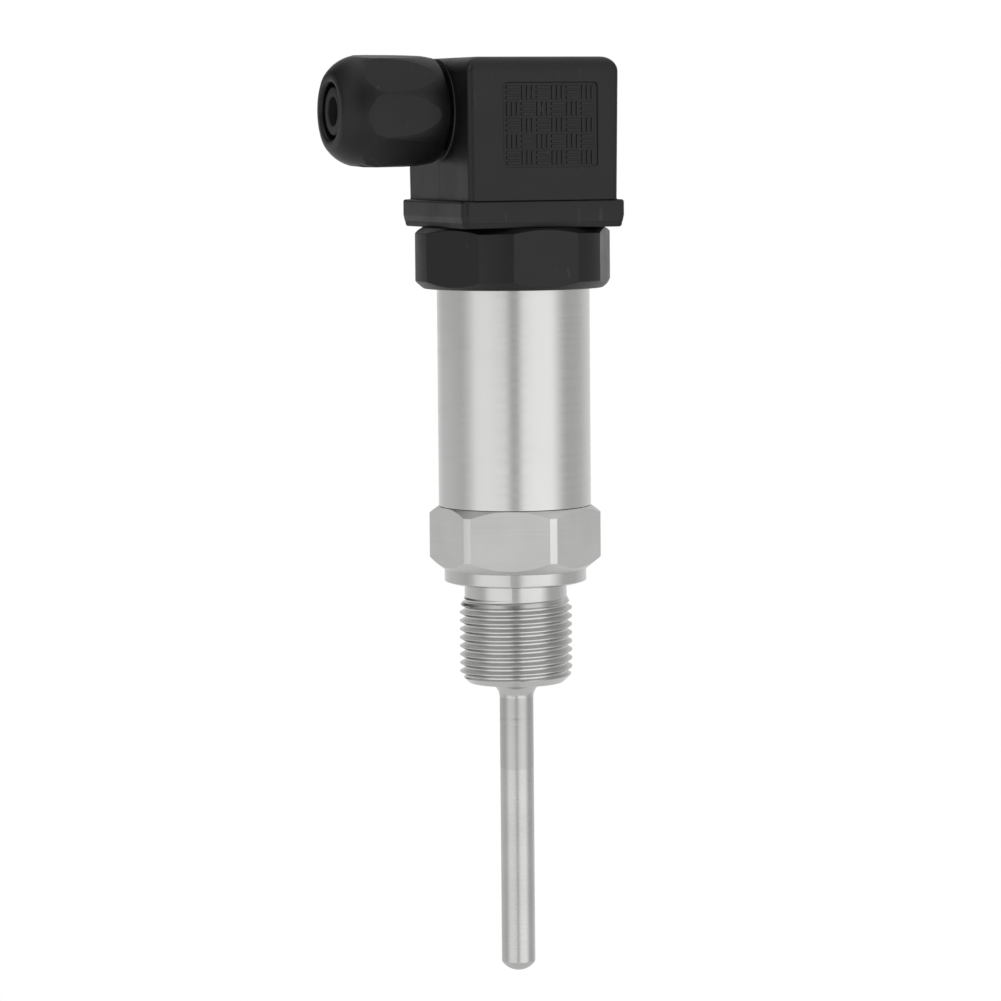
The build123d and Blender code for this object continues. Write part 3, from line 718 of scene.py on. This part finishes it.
square_numbers = list(range(36))
gasket_low, gasket_high = span("profile_gasket")
gasket_bottom, gasket_top = gasket_low.z, gasket_high.z + 0.03
frame_half, frame_corner, window, window_corner = gasket_high.x, 1.2, 11.8, 1.4
gasket = bmesh.new()
gasket_start = opened(gasket, square_numbers, square(window, window_corner, gasket_bottom))
carried(
    gasket,
    gasket_start,
    square(window, window_corner, gasket_top),
    square(frame_half, frame_corner, gasket_top),
    square(frame_half - 0.08, frame_corner, gasket_bottom + 0.3),
    square(frame_half - 0.2, frame_corner, gasket_bottom + 0.08),
    square(frame_half - 0.35, frame_corner - 0.1, gasket_bottom),
    square(window + join, window_corner, gasket_bottom),
)
seal_rubber = plastic("seal_rubber", (0.010, 0.010, 0.010), 0.55, grain=3000.0)
finished(gasket, "profile_gasket", seal_rubber, "root", ["profile_gasket"])

# Plug housing: a moulded square hood. Rounded squares carried from the cavity's roof down, round
# the flange, up the flared sides, over the top and down the screw's well; the gland's boss with
# its thread, and the sunk panel, are let into the walls.
housing_low, housing_high = span("plug_housing")
flange_low, flange_top, hood_top = housing_low.z, 67.85, housing_high.z
flange_half, flange_round, hood_half, deeper, flare = 15.25, 0.45, 13.9, 1.1, 0.25
hood_foot, hood_corner, top_edge = flange_top + 0.25, 1.1, 2.6
cavity_half, cavity_corner, cavity_roof = 12.0, 1.9, 90.45
well_radius, well_floor, block_radius, block_floor = 3.4, 88.05, 5.3, 86.05
gland_height = 83.50


def wall(height):
    """How far the flared walls stand out at a height."""
    return hood_half + flare * (height - flange_top) / (hood_top - flange_top)


def hole(radius, height):
    """A round ring in a stack of squares."""
    around = square(cavity_half, cavity_corner, 0)

    def ring(number):
        turn = around(number)
        turn = atan2(turn.y, turn.x)
        return Vector((radius * cos(turn), radius * sin(turn), height))

    return ring


housing = bmesh.new()
cavity = opened(housing, square_numbers, square(cavity_half, cavity_corner, cavity_roof))
bend = wall(hood_top - top_edge)
carried(
    housing,
    cavity,
    square(cavity_half, cavity_corner, flange_low),
    square(flange_half - 0.2, 1.2, flange_low),
    square(flange_half - 0.03, 1.3, flange_low + 0.9),
    square(flange_half, 1.3, flange_low + 1.1),
    *[
        square(
            flange_half - flange_round + reach, 0.85 + reach, flange_top - flange_round + rise
        )
        for reach, rise in arc((0, 0), flange_round, 0, 90, 4)
    ],
    square(hood_half + 0.2, hood_corner + 0.15, flange_top, deeper),
    square(hood_half + 0.06, hood_corner + 0.05, flange_top + 0.08, deeper),
    square(wall(hood_foot), hood_corner, hood_foot, deeper),
    *[
        square(
            bend - top_edge + reach,
            hood_corner * (0.2 + 0.8 * reach / top_edge),
            hood_top - top_edge + rise,
            deeper,
        )
        for reach, rise in arc((0, 0), top_edge, 0, 90, 8)
    ],
    hole(well_radius + 0.2, hood_top),
    hole(well_radius + 0.05, hood_top - 0.06),
    hole(well_radius, hood_top - 0.2),
    hole(well_radius, well_floor),
    hole(screw_hole, well_floor),
    hole(screw_hole, block_floor),
    hole(block_radius, block_floor),
    hole(block_radius, cavity_roof),
    square(cavity_half - join, cavity_corner, cavity_roof),
)

boss_radius, boss_root, boss_pitch, boss_tip = 7.9, 7.05, 1.5, 7.1
gland_face, boss_seat, boss_end = 14.25, 18.75, 24.25
boss_start, collar_side, collar_foot = gland_face + 0.6, 8.8, 8.95
rubber_bore, cable_hole = 6.3, 4.6


def boss_blank(height):
    """The boss thread's blank: a cone at its end and another into its collar."""
    end = boss_tip + (boss_end - height)
    start = boss_root + (height - boss_start)
    return min(boss_radius, end, start)


boss, boss_foot, boss_head = thread(
    boss_radius, boss_root, boss_pitch, boss_start, boss_end - 0.3, boss_blank
)
on_gland = Matrix.Translation((0, 0, gland_height)) @ Matrix.Rotation(-pi / 2, 4, "Y")


def on_wall(angle):
    """The collar's foot, on the flared wall."""
    height = gland_height + collar_foot * cos(angle)
    return Vector((collar_foot * cos(angle), collar_foot * sin(angle), wall(height)))


carried(
    boss,
    boss_foot,
    *circles(
        [(boss_root, gland_face), (collar_side, gland_face), (collar_side + 0.1, gland_face - 0.1)]
    ),
    on_wall,
)
carried(
    boss,
    boss_head,
    *circles(
        [
            (boss_tip, boss_end),
            (rubber_bore, boss_end - 0.8),
            (rubber_bore, boss_seat),
            (cable_hole, boss_seat),
            (cable_hole, cavity_half),
        ]
    ),
)
bmesh.ops.transform(boss, matrix=on_gland, verts=boss.verts)
joined([housing, boss])

panel_x, panel_z, panel_wide, panel_high, panel_floor = 1.2, 80.85, 8.8, 7.3, 14.825
panel_corner, panel_edge, panel_round = 0.8, 0.12, 0.2


def sunk(wide, high, corner, depth):
    """A rounded rectangle ring of the panel, at a depth below the wall or on a flat floor."""

    def ring(number):
        half = 10
        place = square(half, corner, 0)(number)
        across = place.x + (wide - half if place.x > 0 else half - wide)
        up = place.y + (high - half if place.y > 0 else half - high)
        height = panel_z + up
        return Vector((panel_x + across, -(depth or wall(height) + deeper), height))

    return ring


panel_rim = opened(
    housing,
    square_numbers,
    sunk(panel_wide + panel_edge, panel_high + panel_edge, panel_corner + 0.1, None),
)
panel_foot = carried(
    housing,
    panel_rim,
    sunk(panel_wide, panel_high, panel_corner, panel_floor + panel_round),
    sunk(panel_wide, panel_high, panel_corner, panel_floor),
)
bmesh.ops.edgeloop_fill(housing, edges=panel_foot)


def let_in(data, point, rim):
    """Cuts a wall's face open round a rim of edges that lies in it."""
    data.faces.ensure_lookup_table()
    face = min(data.faces, key=lambda one: (one.calc_center_median() - Vector(point)).length)
    outline = list(face.edges)
    bmesh.ops.delete(data, geom=[face], context="FACES_ONLY")
    bmesh.ops.triangle_fill(data, use_beauty=True, edges=outline + rim)


between_walls, on_cavity, around_hole = -cavity_half - 1, 0.01, 5
open_edges = [edge for edge in housing.edges if len(edge.link_faces) == 1]
outer_rim = [edge for edge in open_edges if edge.verts[0].co.x < between_walls]
inner_rim = [
    edge
    for edge in open_edges
    if abs(edge.verts[0].co.x + cavity_half) < on_cavity
    and (edge.verts[0].co.yz - Vector((0, gland_height))).length < around_hole
]
middle_height = (hood_foot + hood_top - top_edge) / 2
let_in(housing, (-wall(middle_height), 0, middle_height), outer_rim)
let_in(housing, (0, -wall(middle_height) - deeper, middle_height), panel_rim)
let_in(housing, (-cavity_half, 0, (cavity_roof + flange_low) / 2), inner_rim)
hood_seam = (-0.6, 71.2, 3.3, -13.7)
plug_black = plastic("plug_black", (0.006, 0.006, 0.0062), 0.42, seam=hood_seam)
finished(
    housing, "plug_housing", plug_black, "plug", ["plug_housing"], sharp=24.0
)

# Panel relief: a plain basket weave of short bars, moulded in one with the panel's sunk floor.
# Cells of three bars each lie upright and across in turn.
bars = bmesh.new()
columns, rows, cell = 6, 5, 2.8
bar_length, bar_width, bar_pitch, bar_top, bar_sink = 2.45, 0.5, 0.9, 15.04, 0.1
for column in range(columns):
    for row in range(rows):
        upright = (column + row) % 2
        for bar in (-1, 0, 1):
            strip = bmesh.ops.create_cube(bars, size=1.0)["verts"]
            wide, high = (bar_width, bar_length) if upright else (bar_length, bar_width)
            bmesh.ops.scale(bars, vec=(wide, bar_top - panel_floor + bar_sink, high), verts=strip)
            shift = (bar * bar_pitch, 0) if upright else (0, bar * bar_pitch)
            middle = (
                panel_x + (column - (columns - 1) / 2) * cell + shift[0],
                -(bar_top + panel_floor - bar_sink) / 2,
                panel_z + (row - (rows - 1) / 2) * cell + shift[1],
            )
            bmesh.ops.translate(bars, vec=middle, verts=strip)
finished(bars, "panel_relief", plug_black, "plug", [], edge=0.06)

# Gland nut: a barrel-shaped moulded nut; eight flats run out into its round shoulder and rear.
# Rings carried along its axis, with one on each edge where a flat runs out.
nut_low, nut_high = span("gland_nut")
nut_front = -nut_low.x
nut_rear = -nut_high.x
nut_flat, nut_corner, nut_turn = 9.45, 10.2, radians(17.5)
nut_bar = (8, nut_flat, nut_corner, nut_turn)
rear_radius, nut_crest, past_crest = 9.15, nut_rear + 11.05, 1.9
fall = nut_corner - rear_radius
barrel = ((nut_crest - nut_rear) ** 2 + fall**2) / (2 * fall)
swing = degrees(asin((nut_crest - nut_rear) / barrel))
shoulder_radius, shoulder_reach = 6.75, 9.7 - 6.75
shoulder_start, shoulder_end = 9, degrees(acos((6.6 - shoulder_reach) / shoulder_radius))
shoulder_middle = nut_front - shoulder_radius * sin(radians(shoulder_end))
to_rear = arc((nut_corner - barrel, nut_crest), barrel, 0, -swing, 40)
to_front = arc((nut_corner - barrel, nut_crest), barrel, 0, degrees(asin(past_crest / barrel)), 4)
to_front += arc(
    (shoulder_reach, shoulder_middle), shoulder_radius, shoulder_start, shoulder_end, 40
)


def nut_ring(path, share):
    """A ring between where the flats end and the end of a path; share goes from 0 there to 1."""

    def ring(angle):
        reach = bar_radius(angle, *nut_bar)
        step = next(number for number, point in enumerate(path[1:]) if point[0] <= reach)
        part = (path[step][0] - reach) / (path[step][0] - path[step + 1][0])
        start = step + max(0.0, part)
        place = start + (len(path) - 1 - start) * share
        step = min(int(place), len(path) - 2)
        (near, low), (far, high) = path[step : step + 2]
        radius, height = near + (far - near) * (place - step), low + (high - low) * (place - step)
        return Vector((radius * cos(angle), radius * sin(angle), height))

    return ring


nut = bmesh.new()
opening, nut_shelf, nut_bore = 5.0, nut_front - 5.8, 8.05
gland_place = Matrix.Scale(mm, 4) @ on_gland @ Matrix.Scale(1 / mm, 4)
nut_start = opened(
    nut, bar_angles(*nut_bar, flat_steps=14, corner_steps=6), circle(nut_bore, nut_rear)
)
carried(
    nut,
    nut_start,
    circle(rear_radius - 0.12, nut_rear),
    circle(rear_radius - 0.01, nut_rear + 0.1),
    *[nut_ring(to_rear, share) for share in (0.97, 0.75, 0.5, 0.25, 0.0)],
    *[nut_ring(to_front, share / 10) for share in range(10)],
    *circles(
        [
            (6.62, nut_front - 0.13),
            (6.1, nut_front - 0.02),
            (5.7, nut_front),
            (5.4, nut_front - 0.04),
            (5.15, nut_front - 0.2),
            (opening, nut_front - 0.5),
            (opening, nut_shelf),
            (nut_bore, nut_shelf),
            (nut_bore, nut_rear + join),
        ]
    ),
)
gland_black = plastic("gland_black", (0.004, 0.004, 0.0042), 0.42)
finished(
    nut,
    "gland_nut",
    gland_black,
    "cable_nut",
    ["gland_nut"],
    place=gland_place,
    sharp=12.0,
    edge=0.12,
)

# Cable grommet: a rubber bush in the gland's boss, pressed by the nut. Its nose stands in the
# nut's opening and its bore is empty, because there is no cable.
grommet_low, grommet_high = span("cable_grommet")
grommet_front, grommet_rear = -grommet_low.x, -grommet_high.x
cable_bore, bush_radius, bush_step, nose_side = 2.55, 6.15, 27.05, 4.2
grommet = turned(
    [
        (cable_bore, grommet_rear),
        (bush_radius, grommet_rear),
        (bush_radius, bush_step),
        (nose_side, bush_step),
        (nose_side, grommet_front - 0.4),
        (nose_side - 0.1, grommet_front - 0.12),
        (nose_side - 0.35, grommet_front),
        (cable_bore + 0.15, grommet_front),
        (cable_bore, grommet_front - 0.15),
    ],
    steps=96,
)
grommet_rubber = plastic("grommet_rubber", (0.024, 0.024, 0.024), 0.60, grain=3000.0)
finished(
    grommet,
    "cable_grommet",
    grommet_rubber,
    "plug",
    ["cable_grommet"],
    place=gland_place,
)

# Parts inside and small hardware: contacts, screws, rubber rings, the circuit board and its leads,
# and the ceramic element in the tip. They have the CAD solids' own forms, merged in a copy, with
# broken edges.
insert_grey = plastic("insert_grey", (0.20, 0.20, 0.21), 0.45)
carrier_cream = plastic("carrier_cream", (0.55, 0.52, 0.44), 0.45)
board_green = plastic("board_green", (0.03, 0.17, 0.08), 0.35)
chip_black = plastic("chip_black", (0.02, 0.02, 0.02), 0.5)
lead_red = plastic("lead_red", (0.45, 0.05, 0.04), 0.4)
lead_white = plastic("lead_white", (0.80, 0.80, 0.78), 0.4)
ceramic_white = plastic("ceramic_white", (0.85, 0.83, 0.78), 0.25)
contact_brass = metal("contact_brass", (0.72, 0.60, 0.36), 0.28, (700, 700, 1400), 0.002)
screw_steel = metal("screw_steel", (0.62, 0.62, 0.63), 0.26, (500, 500, 3000), 0.003)
copied = {
    "contact_insert": ("plug", insert_grey, "insert_grey"),
    "female_contacts": ("plug", contact_brass, "contact_brass"),
    "terminal_screws": ("plug", screw_steel, "screw_steel"),
    "screw_washer": ("slip_washer", screw_steel, "screw_steel"),
    "fixing_screw": ("central_screw", screw_steel, "screw_steel"),
    "gland_washer": ("slip_ring", insert_grey, "insert_grey"),
    "threaded_insert": ("root", contact_brass, "contact_brass"),
    "body_o_ring": ("root", seal_rubber, "seal_rubber"),
    "base_o_ring": ("root", seal_rubber, "seal_rubber"),
    "board_carrier": ("root", carrier_cream, "carrier_cream"),
    "circuit_board": ("root", board_green, "board_green"),
    "board_components": ("root", chip_black, "chip_black"),
    "connector_leads": ("root", lead_red, "lead_red"),
    "sensor_leads": ("root", lead_white, "lead_white"),
    "pt100_element": ("root", ceramic_white, "ceramic_white"),
    "ceramic_insulator": ("root", ceramic_white, "ceramic_white"),
}
flat_within = radians(0.5)
for name, (body, material, slot) in copied.items():
    copy = bmesh.new()
    copy.from_mesh(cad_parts[name].data)
    bmesh.ops.scale(copy, vec=(1 / mm, 1 / mm, 1 / mm), verts=copy.verts)
    bmesh.ops.remove_doubles(copy, verts=copy.verts, dist=join)
    bmesh.ops.dissolve_limit(copy, angle_limit=flat_within, verts=copy.verts, edges=copy.edges)
    finished(copy, name, material, body, [name], edge=0.06)
